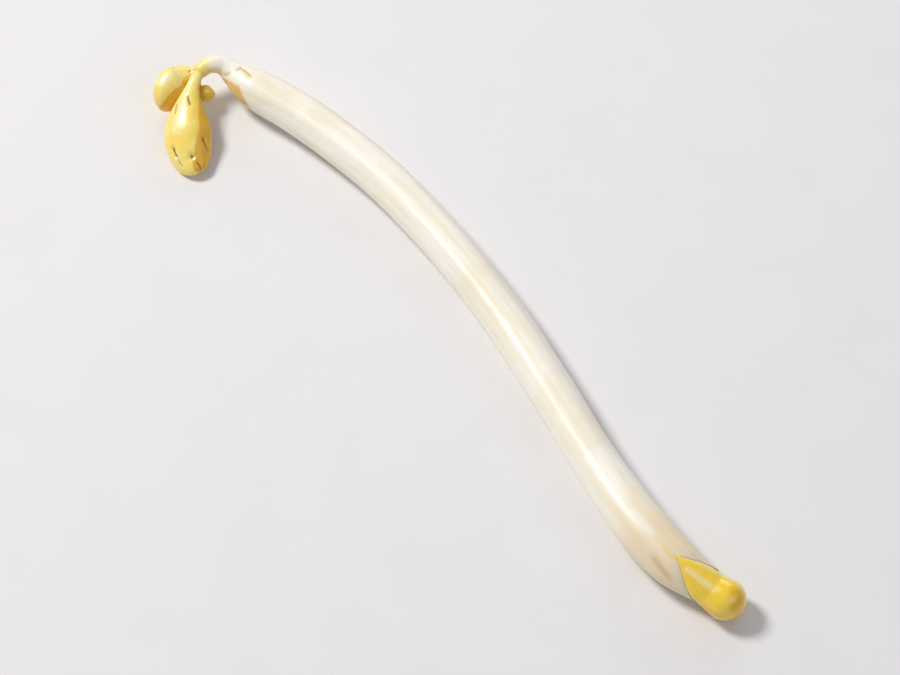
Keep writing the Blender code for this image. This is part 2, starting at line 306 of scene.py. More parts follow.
class Form:
    """One piece, from its straight drawing to its place on the sprout."""

    def __init__(self, name: str, rings: Sequence[Ring], sides: int) -> None:
        """Draws the straight form by extruding and scaling one ring after another.

        Args:
            name: the name of the piece.
            rings: its sections, from its first pole to its last.
            sides: the number of points round it.
        """
        first = rings[0]
        bpy.ops.object.select_all(action="DESELECT")
        bpy.ops.mesh.primitive_circle_add(
            vertices=sides,
            radius=first.half_width * MM,
            fill_type="NGON",
            location=((first.at + GUIDE_LEAD) * MM, 0, 0),
            rotation=(0, math.pi / 2, 0),
        )
        self.piece = bpy.context.object
        self.piece.name = name
        self.piece.data.name = name
        bpy.ops.object.transform_apply(location=True, rotation=True, scale=True)
        bpy.ops.object.mode_set(mode="EDIT")
        bpy.ops.mesh.select_mode(type="VERT")
        bpy.ops.mesh.select_all(action="SELECT")
        for before, ring in zip(rings, rings[1:]):
            bpy.ops.mesh.extrude_region_move(
                TRANSFORM_OT_translate={"value": ((ring.at - before.at) * MM, 0, 0)}
            )
            grown = (1, ring.half_width / before.half_width, ring.half_height / before.half_height)
            middle = ((ring.at + GUIDE_LEAD) * MM, 0, 0)
            bpy.ops.transform.resize(value=grown, center_override=middle)
        bpy.ops.mesh.merge(type="CENTER")
        bpy.ops.object.mode_set(mode="OBJECT")
        start = (first.at + GUIDE_LEAD) * MM
        select_vertices(self.piece, vertex_rows(self.piece)[:, 0] < start + POLE_REACH)
        bpy.ops.object.mode_set(mode="EDIT")
        bpy.ops.mesh.merge(type="CENTER")
        bpy.ops.mesh.select_all(action="SELECT")
        bpy.ops.mesh.normals_make_consistent(inside=False)
        bpy.ops.object.mode_set(mode="OBJECT")

    def smooth(self, levels: int) -> None:
        """Divides the skin and rounds it off."""
        self._apply("SUBSURF", levels=levels, render_levels=levels)

    def _apply(self, kind: str, **settings: object) -> None:
        """Makes a modifier's result the mesh itself.

        Args:
            kind: the modifier's type.
            settings: its settings by name.
        """
        modifier = self.piece.modifiers.new(kind.lower(), kind)
        for key, value in settings.items():
            setattr(modifier, key, value)
        select_only(self.piece)
        bpy.ops.object.modifier_apply(modifier=modifier.name)

    def sculpt(self, move: Callable[[np.ndarray], np.ndarray]) -> None:
        """Moves the vertices of the straight form.

        Args:
            move: takes the distance along, the side and the up offset in mm and returns them moved.
        """
        points = vertex_rows(self.piece) / MM
        points[:, 0] -= GUIDE_LEAD
        moved = move(points)
        moved[:, 0] += GUIDE_LEAD
        self.piece.data.vertices.foreach_set("co", (moved * MM).ravel())
        self.piece.data.update()

    def bend(self, route: Route) -> None:
        """Bends the straight form along a route."""
        guide = route.guide(self.piece.name + "_guide")
        self._apply("CURVE", object=guide, deform_axis="POS_X")
        line = guide.data
        bpy.data.objects.remove(guide, do_unlink=True)
        bpy.data.curves.remove(line)

    def rest_on_floor(self) -> None:
        """Presses what would reach below the surface flat onto it."""
        select_only(self.piece)
        select_vertices(self.piece, vertex_rows(self.piece)[:, 2] < 0)
        bpy.ops.object.mode_set(mode="EDIT")
        if self.piece.data.total_vert_sel:
            bpy.ops.transform.resize(value=(1, 1, 0), center_override=(0, 0, 0))
        bpy.ops.object.mode_set(mode="OBJECT")

    def cut(self, tool: bpy.types.Object) -> None:
        """Cuts the shape of another object out of this one, and removes that object."""
        self._apply("BOOLEAN", operation="DIFFERENCE", solver="EXACT", object=tool)
        mesh = tool.data
        bpy.data.objects.remove(tool, do_unlink=True)
        bpy.data.meshes.remove(mesh)

    def path_on_skin(self, route: Route, places: Places) -> np.ndarray:
        """Points in metres on the skin, at given distances along a route and angles round it."""
        bpy.context.view_layer.update()
        path = []
        for along, angle in places:
            start, direction = route.ray(along, angle)
            hit, point, _, _ = self.piece.ray_cast(start, direction)
            if hit:
                path.append(np.array(point))
        return np.array(path)

    def gap_to(self, path: np.ndarray, tail: float = 1.0) -> np.ndarray:
        """The distance in mm from each vertex to a line through the path's points.

        Args:
            path: the points in metres.
            tail: how narrow the line counts as at its last point, as a share of its first.

        Returns:
            One distance for each vertex, larger towards a narrow tail.
        """
        points = vertex_rows(self.piece)
        if len(path) == 1:
            return np.linalg.norm(points - path[0], axis=1) / MM
        gaps = np.full(len(points), np.inf)
        for step, (a, b) in enumerate(zip(path, path[1:])):
            run = b - a
            share = np.clip(((points - a) @ run) / max(run @ run, 1e-18), 0, 1)
            narrow = 1 - (1 - tail) * (step + share) / (len(path) - 1)
            gaps = np.minimum(gaps, np.linalg.norm(points - a - share[:, None] * run, axis=1) / narrow)
        return gaps / MM

    def streak(self, route: Route, line: Streak) -> np.ndarray:
        """How strong a soft line is at each vertex, from 0 to its strength.

        Args:
            route: the route whose places the line is given in.
            line: the soft line.

        Returns:
            One value for each vertex.
        """
        gaps = self.gap_to(self.path_on_skin(route, line.places), line.tail)
        return line.strength * np.exp(-((gaps / line.width) ** 2))

    def stain_of(self, route: Route, marks: Sequence[Mark], spread: float) -> np.ndarray:
        """How brown each vertex is from the marks, from 0 to 1.

        Args:
            route: the route whose places the marks are given in.
            marks: the marks.
            spread: how wide a stain is, as a share of the pressed width.

        Returns:
            One value for each vertex.
        """
        lines = [Streak(mark.places, mark.width * spread, mark.stain, mark.tail) for mark in marks]
        return np.max([self.streak(route, line) for line in lines], axis=0)

    def press(self, route: Route, mark: Mark) -> None:
        """Presses a mark into the skin with a soft edge, or raises it.

        Args:
            route: the route whose places the mark is given in.
            mark: the mark.
        """
        gaps = self.gap_to(self.path_on_skin(route, mark.places), mark.tail)
        near = gaps < max(mark.width * PRESSED_SHARE, gaps.min() * 1.01)
        lift = 1.0 if mark.kind is Press.SWELL else -1.0
        direction = vertex_rows(self.piece, "normal")[near].mean(axis=0)
        direction /= np.linalg.norm(direction)
        select_only(self.piece)
        select_vertices(self.piece, near)
        bpy.ops.object.mode_set(mode="EDIT")
        bpy.ops.transform.translate(
            value=tuple(direction * mark.depth * lift * MM),
            use_proportional_edit=True,
            use_proportional_connected=True,
            proportional_edit_falloff="SHARP" if mark.kind is Press.CREASE else "SMOOTH",
            proportional_size=mark.width * MM,
        )
        bpy.ops.object.mode_set(mode="OBJECT")

    def store(self, name: str, values: np.ndarray) -> None:
        """Keeps one value, or one place, for each vertex under a name that a finish can read."""
        wide = values.ndim == 2
        layer = self.piece.data.attributes.new(name, "FLOAT_VECTOR" if wide else "FLOAT", "POINT")
        layer.data.foreach_set("vector" if wide else "value", values.astype(np.float32).ravel())

    def shade(self, sharp_from: Optional[float] = None) -> None:
        """Shades the piece smooth, apart from edges sharper than the angle, if one is given."""
        select_only(self.piece)
        if sharp_from is None:
            bpy.ops.object.shade_smooth()
        else:
            bpy.ops.object.shade_smooth_by_angle(angle=sharp_from)

    def dress(self, material: bpy.types.Material, slot: str, *nodes: str) -> None:
        """Gives the piece its finish and its part in the frame."""
        self.piece.data.materials.clear()
        self.piece.data.materials.append(material)
        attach(self.piece, BODY)
        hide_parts(*nodes)
        LOG.info("%s: %d faces", self.piece.name, len(self.piece.data.polygons))


def cap_rings(at: float, radius: float, reach: float, direction: int, count: int = 7) -> list[Ring]:
    """The rings that round off one end of a round form.

    Args:
        at: where the last full ring is.
        radius: the radius of that ring.
        reach: how far the rounded end stands past it.
        direction: -1 for the start of the form and 1 for its end.
        count: how many rings close it.

    Returns:
        The rings in the order in which the form is drawn.
    """
    rings = []
    for step in range(1, count + 1):
        angle = 0.5 * math.pi * step / count
        size = radius * max(math.cos(angle), POLE_SHARE)
        rings.append(Ring(at + direction * reach * math.sin(angle), size, size))
    return rings[::-1] if direction < 0 else rings


class Sketch:
    """A short way to write down a node tree."""

    def __init__(self, tree: bpy.types.NodeTree) -> None:
        """Takes the tree that the nodes go into."""
        self.tree = tree

    def add(self, kind: str, inputs: Optional[dict] = None, **settings: object) -> bpy.types.Node:
        """Adds a node.

        Args:
            kind: the node's type.
            inputs: a value or another node's output for each named or numbered input.
            settings: the node's own settings.

        Returns:
            The node.
        """
        node = self.tree.nodes.new(kind)
        for key, value in settings.items():
            setattr(node, key, value)
        for key, value in (inputs or {}).items():
            if isinstance(value, bpy.types.NodeSocket):
                self.tree.links.new(value, node.inputs[key])
            else:
                node.inputs[key].default_value = value
        return node

    def math(self, operation: str, a: object, b: object = 0.0) -> bpy.types.NodeSocket:
        """The result of one sum on two values."""
        return self.add("ShaderNodeMath", {0: a, 1: b}, operation=operation).outputs[0]

    def blend(self, share: object, under: object, over: object) -> bpy.types.NodeSocket:
        """One colour laid over another by a share from 0 to 1."""
        node = self.add("ShaderNodeMix", {0: share, 6: under, 7: over}, data_type="RGBA")
        return node.outputs[2]

    def ramp(self, value: object, low: object, high: object) -> bpy.types.NodeSocket:
        """0 below the low value, 1 above the high one and a smooth rise between them."""
        limits = {0: value, 1: low, 2: high}
        return self.add("ShaderNodeMapRange", limits, interpolation_type="SMOOTHSTEP").outputs[0]

    def layer(self, name: str, output: str = "Fac") -> bpy.types.NodeSocket:
        """A value or a place that the mesh keeps under a name."""
        return self.add("ShaderNodeAttribute", attribute_name=name).outputs[output]

    def group(self, tree: bpy.types.NodeTree, inputs: dict) -> bpy.types.NodeSocket:
        """The output of a node group."""
        return self.add("ShaderNodeGroup", inputs, node_tree=tree).outputs[0]

    def drawn_out(self, place: object, stretch: object) -> bpy.types.NodeSocket:
        """A place squeezed along the growth, so that what is drawn there runs long."""
        squeeze = self.math("DIVIDE", 1.0, stretch)
        scale = self.add("ShaderNodeCombineXYZ", {0: squeeze, 1: 1.0, 2: 1.0}).outputs[0]
        return self.add("ShaderNodeVectorMath", {0: place, 1: scale}, operation="MULTIPLY").outputs[0]


def new_group(name: str, inputs: dict[str, float], output: str) -> tuple[Sketch, dict, object]:
    """Starts a node group that reads a place and some numbers and puts out one value.

    Args:
        name: the name of the group.
        inputs: its numbers, with the value that each has at first.
        output: the name of what it puts out.

    Returns:
        The sketch of the group, its input sockets by name and its output node.
    """
    tree = bpy.data.node_groups.new(name, "ShaderNodeTree")
    tree.interface.new_socket("Place", in_out="INPUT", socket_type="NodeSocketVector")
    for key, value in inputs.items():
        socket = tree.interface.new_socket(key, in_out="INPUT", socket_type="NodeSocketFloat")
        socket.default_value = value
    tree.interface.new_socket(output, in_out="OUTPUT", socket_type="NodeSocketFloat")
    sketch = Sketch(tree)
    entry = sketch.add("NodeGroupInput")
    return sketch, {socket.name: socket for socket in entry.outputs}, sketch.add("NodeGroupOutput")


@dataclass(frozen=True)
class Effects:
    """The effects that several finishes share."""

    fibres: bpy.types.NodeTree
    mottle: bpy.types.NodeTree
    relief: bpy.types.NodeTree

    @staticmethod
    def build() -> "Effects":
        """Makes the three node groups."""
        return Effects(Effects._fibres(), Effects._mottle(), Effects._relief())

    @staticmethod
    def _fibres() -> bpy.types.NodeTree:
        """Long pale and dark threads that run with the growth of the plant."""
        sketch, sockets, end = new_group(
            "growth_fibres", {"Fineness": 2.0, "Stretch": 14.0, "Low": 0.4, "High": 0.7}, "Fibres"
        )
        place = sketch.drawn_out(sockets["Place"], sockets["Stretch"])
        noise = sketch.add(
            "ShaderNodeTexNoise",
            {"Vector": place, "Scale": sockets["Fineness"], "Detail": 5.0, "Roughness": 0.6},
        )
        share = sketch.ramp(noise.outputs[0], sockets["Low"], sockets["High"])
        sketch.tree.links.new(share, end.inputs[0])
        return sketch.tree

    @staticmethod
    def _mottle() -> bpy.types.NodeTree:
        """Soft cloudy patches."""
        sketch, sockets, end = new_group("soft_mottle", {"Size": 0.5, "Low": 0.45, "High": 0.65}, "Patches")
        noise = sketch.add(
            "ShaderNodeTexNoise",
            {"Vector": sockets["Place"], "Scale": sockets["Size"], "Detail": 3.0, "Distortion": 0.4},
        )
        share = sketch.ramp(noise.outputs[0], sockets["Low"], sockets["High"])
        sketch.tree.links.new(share, end.inputs[0])
        return sketch.tree

    @staticmethod
    def _relief() -> bpy.types.NodeTree:
        """The height of a plant skin: long cell rows under a fine pebbling."""
        sketch, sockets, end = new_group(
            "skin_relief", {"Rows": 5.0, "Stretch": 10.0, "Pebbles": 9.0, "Pebbling": 0.3}, "Height"
        )
        place = sketch.drawn_out(sockets["Place"], sockets["Stretch"])
        rows = sketch.add("ShaderNodeTexNoise", {"Vector": place, "Scale": sockets["Rows"], "Detail": 4.0})
        pebbles = sketch.add(
            "ShaderNodeTexVoronoi",
            {"Vector": sockets["Place"], "Scale": sockets["Pebbles"]},
            feature="SMOOTH_F1",
        )
        fine = sketch.math("MULTIPLY", pebbles.outputs["Distance"], sockets["Pebbling"])
        height = sketch.math("SUBTRACT", rows.outputs[0], fine)
        sketch.tree.links.new(height, end.inputs[0])
        return sketch.tree


def new_material(name: str) -> tuple[bpy.types.Material, Sketch, bpy.types.Node]:
    """A material with its sketch and its main shader."""
    material = bpy.data.materials.new(name)
    material.use_nodes = True
    return material, Sketch(material.node_tree), material.node_tree.nodes["Principled BSDF"]


@dataclass(frozen=True)
class Pattern:
    """A pattern in a skin: the effect that draws it and the effect's numbers."""

    effect: Effect
    numbers: dict[str, float]


@dataclass(frozen=True)
class Wash:
    """A colour laid over those under it, where its source is strong.

    The source is one of the finish's patterns or a value that the mesh keeps. The share is how
    much of the colour shows where the source is 1. A broken wash is thinner between the fibres.
    """

    source: str
    colour: str
    share: float = 1.0
    broken: bool = False


@dataclass(frozen=True)
class Finish:
    """The colours of one kind of skin, from the lowest up, and its surface.

    The roughness grows with one of the patterns, the relief's depth and the depth of the softness
    are in millimetres, and the coat is the moist film on the skin.
    """

    name: str
    base: str
    patterns: dict[str, Pattern]
    washes: tuple[Wash, ...]
    roughness: float
    rough_pattern: str
    rougher_by: float
    relief: dict[str, float]
    relief_depth: float
    relief_strength: float
    softness: float
    soft_depth: float
    soft_colour: tuple[float, float, float] = (1.0, 0.7, 0.2)
    coat: float = 0.0
    coat_roughness: float = 0.03

    def make(self, effects: Effects) -> bpy.types.Material:
        """Builds the material.

        Args:
            effects: the effects that the finishes share.

        Returns:
            The material.
        """
        material, sketch, shader = new_material(self.name)
        place = sketch.layer("grown", "Vector")
        drawn = {}
        for key, pattern in self.patterns.items():
            tree = getattr(effects, pattern.effect.value)
            drawn[key] = sketch.group(tree, {"Place": place, **pattern.numbers})
        colour = tint(self.base)
        for wash in self.washes:
            share = drawn[wash.source] if wash.source in drawn else sketch.layer(wash.source)
            if wash.share < 1:
                share = sketch.math("MULTIPLY", share, wash.share)
            if wash.broken:
                share = sketch.math("MULTIPLY", share, sketch.ramp(drawn["fibres"], *BREAK_RANGE))
            colour = sketch.blend(share, colour, tint(wash.colour))
        rough = sketch.math("MULTIPLY", drawn[self.rough_pattern], self.rougher_by)
        height = sketch.group(effects.relief, {"Place": place, **self.relief})
        bump = {"Height": height, "Distance": self.relief_depth * MM, "Strength": self.relief_strength}
        for name, socket in {
            "Base Color": colour,
            "Roughness": sketch.math("ADD", rough, self.roughness),
            "Normal": sketch.add("ShaderNodeBump", bump).outputs[0],
        }.items():
            sketch.tree.links.new(socket, shader.inputs[name])
        for name, value in {
            "Subsurface Weight": self.softness,
            "Subsurface Radius": self.soft_colour,
            "Subsurface Scale": self.soft_depth * MM,
            "Coat Weight": self.coat,
            "Coat Roughness": self.coat_roughness,
        }.items():
            shader.inputs[name].default_value = value
        return material


# Moist white flesh with cream fibres, an ochre patch at the neck that is partly a blemish and partly
# painted shade under the hook, and a beige blush at the root with a painted pale highlight in it
STEM_FLESH = Finish(
    name="stem_flesh",
    base="FFFAEE",
    patterns={
        "fibres": Pattern(Effect.FIBRES, {"Fineness": 1.7, "Stretch": 16.0, "Low": 0.40, "High": 0.68}),
        "threads": Pattern(Effect.FIBRES, {"Fineness": 6.0, "Stretch": 22.0, "Low": 0.52, "High": 0.74}),
        "patches": Pattern(Effect.MOTTLE, {"Size": 0.28, "Low": 0.48, "High": 0.70}),
    },
    washes=(
        Wash("fibres", "F2E5C8", 0.55),
        Wash("threads", "E6D3A8", 0.35),
        Wash("patches", "E6D3A8", 0.22),
        Wash("root_blush", "EBD5A8"),
        Wash("smear", "D3B37C"),
        Wash("tail", "F4D873"),
        Wash("neck", "F8DC74"),
        # Ochre: partly a blemish, partly painted shade under the hook and the creases
        Wash("ochre", "E9BC48", broken=True),
        Wash("crease", "94733A"),
    ),
    roughness=0.40,
    rough_pattern="patches",
    rougher_by=0.12,
    relief={"Rows": 4.0, "Stretch": 14.0, "Pebbles": 7.0, "Pebbling": 0.2},
    relief_depth=0.05,
    relief_strength=0.35,
    softness=0.28,
    soft_depth=0.9,
    soft_colour=(1.0, 0.82, 0.5),
    coat=0.14,
    coat_roughness=0.28,
)

# Waxy yellow skin of a seed leaf, with painted golden shade on its turned side, a painted pale highlight,
# and brown pits
SEED_LEAF_WAX = Finish(
    name="seed_leaf_wax",
    base="FFE885",
    patterns={
        "patches": Pattern(Effect.MOTTLE, {"Size": 0.55, "Low": 0.42, "High": 0.66}),
        "fibres": Pattern(Effect.FIBRES, {"Fineness": 2.2, "Stretch": 5.0, "Low": 0.45, "High": 0.72}),
    },
    washes=(
        Wash("patches", "FCDC58", 0.75),
        Wash("fibres", "E8B228", 0.22),
        Wash("inner", "F5CF4A"),
        # Painted shade: golden on the side of the leaf turned from the light
        Wash("painted_gold_shade", "E8B228"),
        # Painted highlight: a pale streak along the leaf
        Wash("pale", "FFF6C8"),
        Wash("pit", "4A3010"),
    ),
    roughness=0.25,
    rough_pattern="patches",
    rougher_by=0.10,
    relief={"Rows": 3.0, "Stretch": 4.0, "Pebbles": 8.0, "Pebbling": 0.35},
    relief_depth=0.04,
    relief_strength=0.30,
    softness=0.18,
    soft_depth=0.6,
    coat=0.30,
    coat_roughness=0.14,
)

# Bright glossy yellow skin, deeper at the very tip and in painted shade under the bulb, with a painted
# highlight along the flame, and pale where it leaves the stem
ROOT_SKIN = Finish(
    name="root_skin",
    base="FFD733",
    patterns={
        "patches": Pattern(Effect.MOTTLE, {"Size": 0.6, "Low": 0.40, "High": 0.68}),
        "fibres": Pattern(Effect.FIBRES, {"Fineness": 3.0, "Stretch": 6.0, "Low": 0.46, "High": 0.74}),
    },
    washes=(
        Wash("patches", "FFE35E", 0.6),
        Wash("fibres", "E0AE20", 0.28),
        Wash("pale", "F8E28C"),
        # A darker patch on the bulb's end, and painted shade on the bulb's underside
        Wash("tip", "E0AE20"),
        # Painted highlight along the flame and a spot past it
        Wash("painted_highlight", "FFF5CC"),
    ),
    roughness=0.19,
    rough_pattern="fibres",
    rougher_by=0.10,
    relief={"Rows": 3.4, "Stretch": 5.0, "Pebbles": 9.0, "Pebbling": 0.3},
    relief_depth=0.035,
    relief_strength=0.28,
    softness=0.15,
    soft_depth=0.6,
    coat=0.60,
    coat_roughness=0.05,
)

# Young yellow leaves with a pale midrib
YOUNG_LEAF = Finish(
    name="young_leaf",
    base="F6CF45",
    patterns={
        "fibres": Pattern(Effect.FIBRES, {"Fineness": 5.0, "Stretch": 5.0, "Low": 0.44, "High": 0.70}),
    },
    washes=(Wash("fibres", "E2AE2A", 0.55), Wash("rib", "FFF0A8")),
    roughness=0.38,
    rough_pattern="fibres",
    rougher_by=0.12,
    relief={"Rows": 9.0, "Stretch": 5.0, "Pebbles": 14.0, "Pebbling": 0.3},
    relief_depth=0.03,
    relief_strength=0.35,
    softness=0.2,
    soft_depth=0.4,
)


# Where along them, in mm, the waves in the skins of the root tip and the stem are
SWELLS_FROM = Fade(1.0, 4.0)
SWELLS_UNTIL = Fade(7.2, 5.7)
STEM_PLANES_FROM = Fade(3.0, 8.0)


@dataclass
class RootTip:
    """The yellow root tip: a slim point seated in the stem's end, a waist and a round bulb."""

    point_radius: float = 0.08
    waist_radius: float = 1.47
    bulb_radius: float = 1.65
    sides: int = 48
    ring_count: int = 31
    # A line through the darker patch on the bulb's end, measured from the sprout's middle
    gold_patch: tuple[tuple[float, float, float], ...] = (
        (31.30, 1.75, 2.98),
        (31.78, 1.75, 2.58),
        (31.95, 1.25, 2.40),
    )
    patch_reach: Fade = Fade(0.85, 0.25, 0.62)
    # Where the painted shade on the underside of the bulb begins and is full: along in mm, round in
    # degrees;
    # a third number is the share of the colour that shows there
    painted_shade_under_from: Fade = Fade(3.4, 4.4, 0.55)
    painted_shade_under_below: Fade = Fade(24.0, -2.0)
    painted_shade_under_behind: Fade = Fade(-170.0, -100.0)
    # The same for the pale far side of the flame and its pale point
    far_past: Fade = Fade(108.0, 126.0, 0.75)
    far_behind: Fade = Fade(179.0, 149.0)
    far_until: Fade = Fade(3.6, 2.2)
    point_until: Fade = Fade(0.9, 0.0, 0.35)
    deepest: float = 0.75
    palest: float = 0.8
    # A painted highlight: the light streak along the flame and the round light spot past it
    painted_highlight_line: Streak = Streak(((1.0, 50), (1.35, 61), (2.0, 66), (2.8, 70), (3.25, 74)), 0.24, 0.55)
    painted_highlight_spot: Streak = Streak(((4.35, 78),), 0.22, 0.35)

    def route(self) -> Route:
        """The line that the root tip follows, with its radius."""
        waist = self.waist_radius
        return Route(
            [
                (27.05, -0.24, 3.90, self.point_radius),
                (27.62, -0.10, 3.44, waist * 0.36),
                (28.35, 0.12, 2.82, waist * 0.71),
                (29.15, 0.38, 2.22, waist * 0.93),
                (30.05, 0.66, 1.80, waist),
                (31.20, 1.00, self.bulb_radius, self.bulb_radius),
            ]
        )

    def draw(self, name: str, grow: float, levels: int) -> Form:
        """Draws the root tip, or a slightly larger copy of it that its seat is cut with.

        Args:
            name: the name of the piece.
            grow: how much larger it is all round.
            levels: how finely its skin is divided.

        Returns:
            The form in its place.
        """
        route = self.route()
        length = route.length
        rings = cap_rings(0.0, self.point_radius + grow, self.point_radius + grow, -1, 4)
        for at in np.linspace(0.0, length, self.ring_count):
            radius = route.radius_at(at) + grow
            rings.append(Ring(float(at), radius, radius))
        rings += cap_rings(length, self.bulb_radius + grow, self.bulb_radius * 0.98 + grow, 1, 10)
        form = Form(name, rings, self.sides)
        form.smooth(levels)
        if not grow:
            form.sculpt(self._swell)
        form.bend(route)
        form.rest_on_floor()
        return form

    @staticmethod
    def _swell(points: np.ndarray) -> np.ndarray:
        """Gives the bulb slow uneven swellings, as a root that grew between its neighbours has."""
        along, angle = points[:, 0], np.arctan2(points[:, 2], points[:, 1])
        amount = SWELLS_FROM.of(along) * SWELLS_UNTIL.of(along)
        wave = 0.010 * np.sin(2 * angle + 0.9 * along) - 0.010
        wave += 0.006 * np.sin(5 * angle - 0.7 * along)
        points[:, 1:] *= (1 + amount * wave)[:, None]
        return points

    def build(self, material: bpy.types.Material) -> None:
        """Makes the piece, stores its darker patch, its painted shade and highlight, where it is pale, and
        dresses it.
        """
        route = self.route()
        form = self.draw("root_tip_skin", 0.0, 2)
        found = route.locate(vertex_rows(form.piece))
        form.store("grown", found)
        along, side, up = found.T
        angle = np.degrees(np.arctan2(up, side))
        patch = self.patch_reach.of(form.gap_to(np.array(self.gold_patch) * MM))
        under = self.painted_shade_under_below.of(angle) * self.painted_shade_under_behind.of(angle)
        under *= self.painted_shade_under_from.of(along)
        # The darker patch on the bulb's end, plus painted shade on its underside
        form.store("tip", np.minimum(patch + under, self.deepest))
        far = self.far_past.of(angle) * self.far_behind.of(angle) * self.far_until.of(along)
        form.store("pale", np.minimum(far + self.point_until.of(along), self.palest))
        # A painted highlight: a light streak along the flame and a round spot past it
        painted_highlight = [form.streak(route, line) for line in (self.painted_highlight_line, self.painted_highlight_spot)]
        form.store("painted_highlight", np.maximum(*painted_highlight))
        form.shade()
        form.dress(material, "root_yellow", "root_tip")


@dataclass
class Stem:
    """The white stem with its hooked neck, open at its lower end where the root tip sits."""

    radius: float = 1.76
    foot_radius: float = 2.03
    neck_radius: float = 0.70
    node_radius: float = 0.64
    rest_flat: float = 0.09
    seat_gap: float = 0.025
    sides: int = 64
    # How close the rings are: in mm where the creases lie, and further on as a share of the size
    fine_until: float = 6.0
    fine_step: float = 0.14
    step_share: float = 0.3
    sharp_from: float = 48.0
    # The upper edge of the ochre patch under the hook, partly a blemish and partly painted shade, as
    # distance along and angle round
    ochre_edge: Places = (
        (2.25, -30.0),
        (2.50, 14.0),
        (3.40, 42.0),
        (4.10, 52.0),
        (4.90, 26.0),
        (5.60, 0.0),
        (6.60, -40.0),
    )
    # Where each colour begins and is full, along in mm or round in degrees, and its share there
    neck_until: Fade = Fade(1.5, 0.0, 0.95)
    neck_below: Fade = Fade(40.0, -10.0)
    neck_behind: Fade = Fade(-170.0, -110.0)
    neck_under_until: Fade = Fade(2.6, 1.8, 0.55)
    # The ochre patch is partly a blemish and partly painted shade under the hook
    ochre_from: Fade = Fade(2.2, 2.5, 0.88)
    ochre_past_edge: Fade = Fade(0.0, 14.0)
    ochre_above: Fade = Fade(-75.0, -45.0)
    blush_from: Fade = Fade(51.5, 57.0, 0.62)
    # The ochre blush under the creases, partly painted shade; a painted highlight, the pale V in the beige
    # end; its scuff; and the yellow at the seat
    crease_blush_and_shade: Streak = Streak(((3.45, 98), (3.9, 94), (4.25, 89)), 0.30, 0.42)
    painted_highlight_v: Streak = Streak(((54.3, 82), (55.4, 80), (56.3, 81)), 0.36, 0.8)
    scuff: Streak = Streak(((57.8, 43), (58.2, 40), (58.7, 34), (59.2, 26)), 0.32, 0.62, 0.7)
    yellow_tail: Streak = Streak(((59.1, 80), (58.6, 75), (58.0, 73)), 0.30, 0.85, 0.4)
    yellow_edge: Streak = Streak(((59.0, 84), (59.25, 95), (59.5, 105)), 0.34, 0.5, 0.8)
    marks: tuple[Mark, ...] = (
        Mark(Press.CREASE, ((3.20, 106), (3.10, 94), (3.03, 82)), 0.34, 0.06, 0.7, 0.6),
        Mark(Press.CREASE, ((3.25, 106), (3.65, 101), (4.1, 95), (4.5, 89)), 0.34, 0.06, 0.6, 0.6),
        Mark(Press.CREASE, ((2.42, 27), (2.52, 40), (2.64, 54)), 0.30, 0.05, 0.7, 0.5),
        Mark(Press.SWELL, ((3.9, 70), (4.6, 66)), 0.9, 0.05, 1.0, 0.0),
        Mark(Press.CREASE, ((60.25, 116), (59.98, 113.4), (59.59, 112.6)), 0.34, 0.05, 0.6, 0.55),
    )
    stain_spread: float = 0.26

    def route(self) -> Route:
        """The line through the middle of the stem, with its radius."""
        radius, foot, neck, flat = self.radius, self.foot_radius, self.neck_radius, self.rest_flat
        stations = [
            (-29.92, -0.78, 2.27, self.node_radius),
            (-29.88, -0.30, 2.36, neck * 0.96),
            (-29.66, 0.18, 2.40, neck),
            (-29.16, 0.76, 2.12, neck * 1.05),
            (-28.30, 1.12, 1.45, neck * 1.45),
            (-27.00, 1.44, 0.75, radius * 0.82),
            (-25.60, 1.94, 0.40, radius * 0.94),
            (-23.40, 2.68, 0.18, radius * 0.98),
            (-19.50, 3.60, 0.02, radius),
            (-15.00, 4.30, -flat * 0.6, radius),
            (-9.00, 4.55, -flat, radius * 0.99),
            (-3.00, 4.25, -flat, radius * 0.99),
            (3.00, 3.55, -flat, radius),
            (9.00, 2.45, -flat * 0.3, radius),
            (15.00, 1.20, 0.05, radius),
            (20.00, 0.30, 0.06, radius * 1.09),
            (24.00, -0.10, 0.06, foot),
            (26.80, 0.00, 0.06, foot * 0.94),
            (28.50, 0.42, 0.07, foot * 0.81),
            (29.60, 0.78, 0.12, foot * 0.73),
        ]
        return Route([(x, y, lift + size, size) for x, y, lift, size in stations], samples=1400)

    @staticmethod
    def _planes(points: np.ndarray) -> np.ndarray:
        """Gives the round stem the soft long planes and the slow waves of a grown one."""
        along, angle = points[:, 0], np.arctan2(points[:, 2], points[:, 1])
        amount = STEM_PLANES_FROM.of(along)
        wave = 0.011 * np.cos(6 * angle + 0.9 * np.sin(along / 9.0)) - 0.008
        wave += 0.005 * np.cos(11 * angle + 1.3 + along / 23.0)
        wave += 0.006 * np.sin(along / 2.9 + 2 * angle) + 0.005 * np.sin(along / 1.3 - angle)
        points[:, 1:] *= (1 + amount * wave)[:, None]
        return points

    def build(self, material: bpy.types.Material, root: RootTip) -> None:
        """Makes the piece, opens it for the root tip and dresses it.

        Args:
            material: its finish.
            root: the root tip that sits in its end.
        """
        route = self.route()
        rings = cap_rings(0.0, self.node_radius, self.node_radius, -1, 6)
        at = 0.0
        while at < route.length:
            size = route.radius_at(at)
            rings.append(Ring(at, size, size))
            at += self.fine_step if at < self.fine_until else self.step_share * size
        end = route.radius_at(route.length)
        rings.append(Ring(route.length, end, end))
        rings += cap_rings(route.length, end, 0.15, 1, 5)
        form = Form("stem_skin", rings, self.sides)
        form.smooth(1)
        form.sculpt(self._planes)
        form.bend(route)
        form.rest_on_floor()
        for mark in self.marks:
            form.press(route, mark)
        form.cut(root.draw("root_seat", self.seat_gap, 1).piece)
        self._stain(form, route)
        form.shade(math.radians(self.sharp_from))
        form.dress(material, "stem_white", "stem")

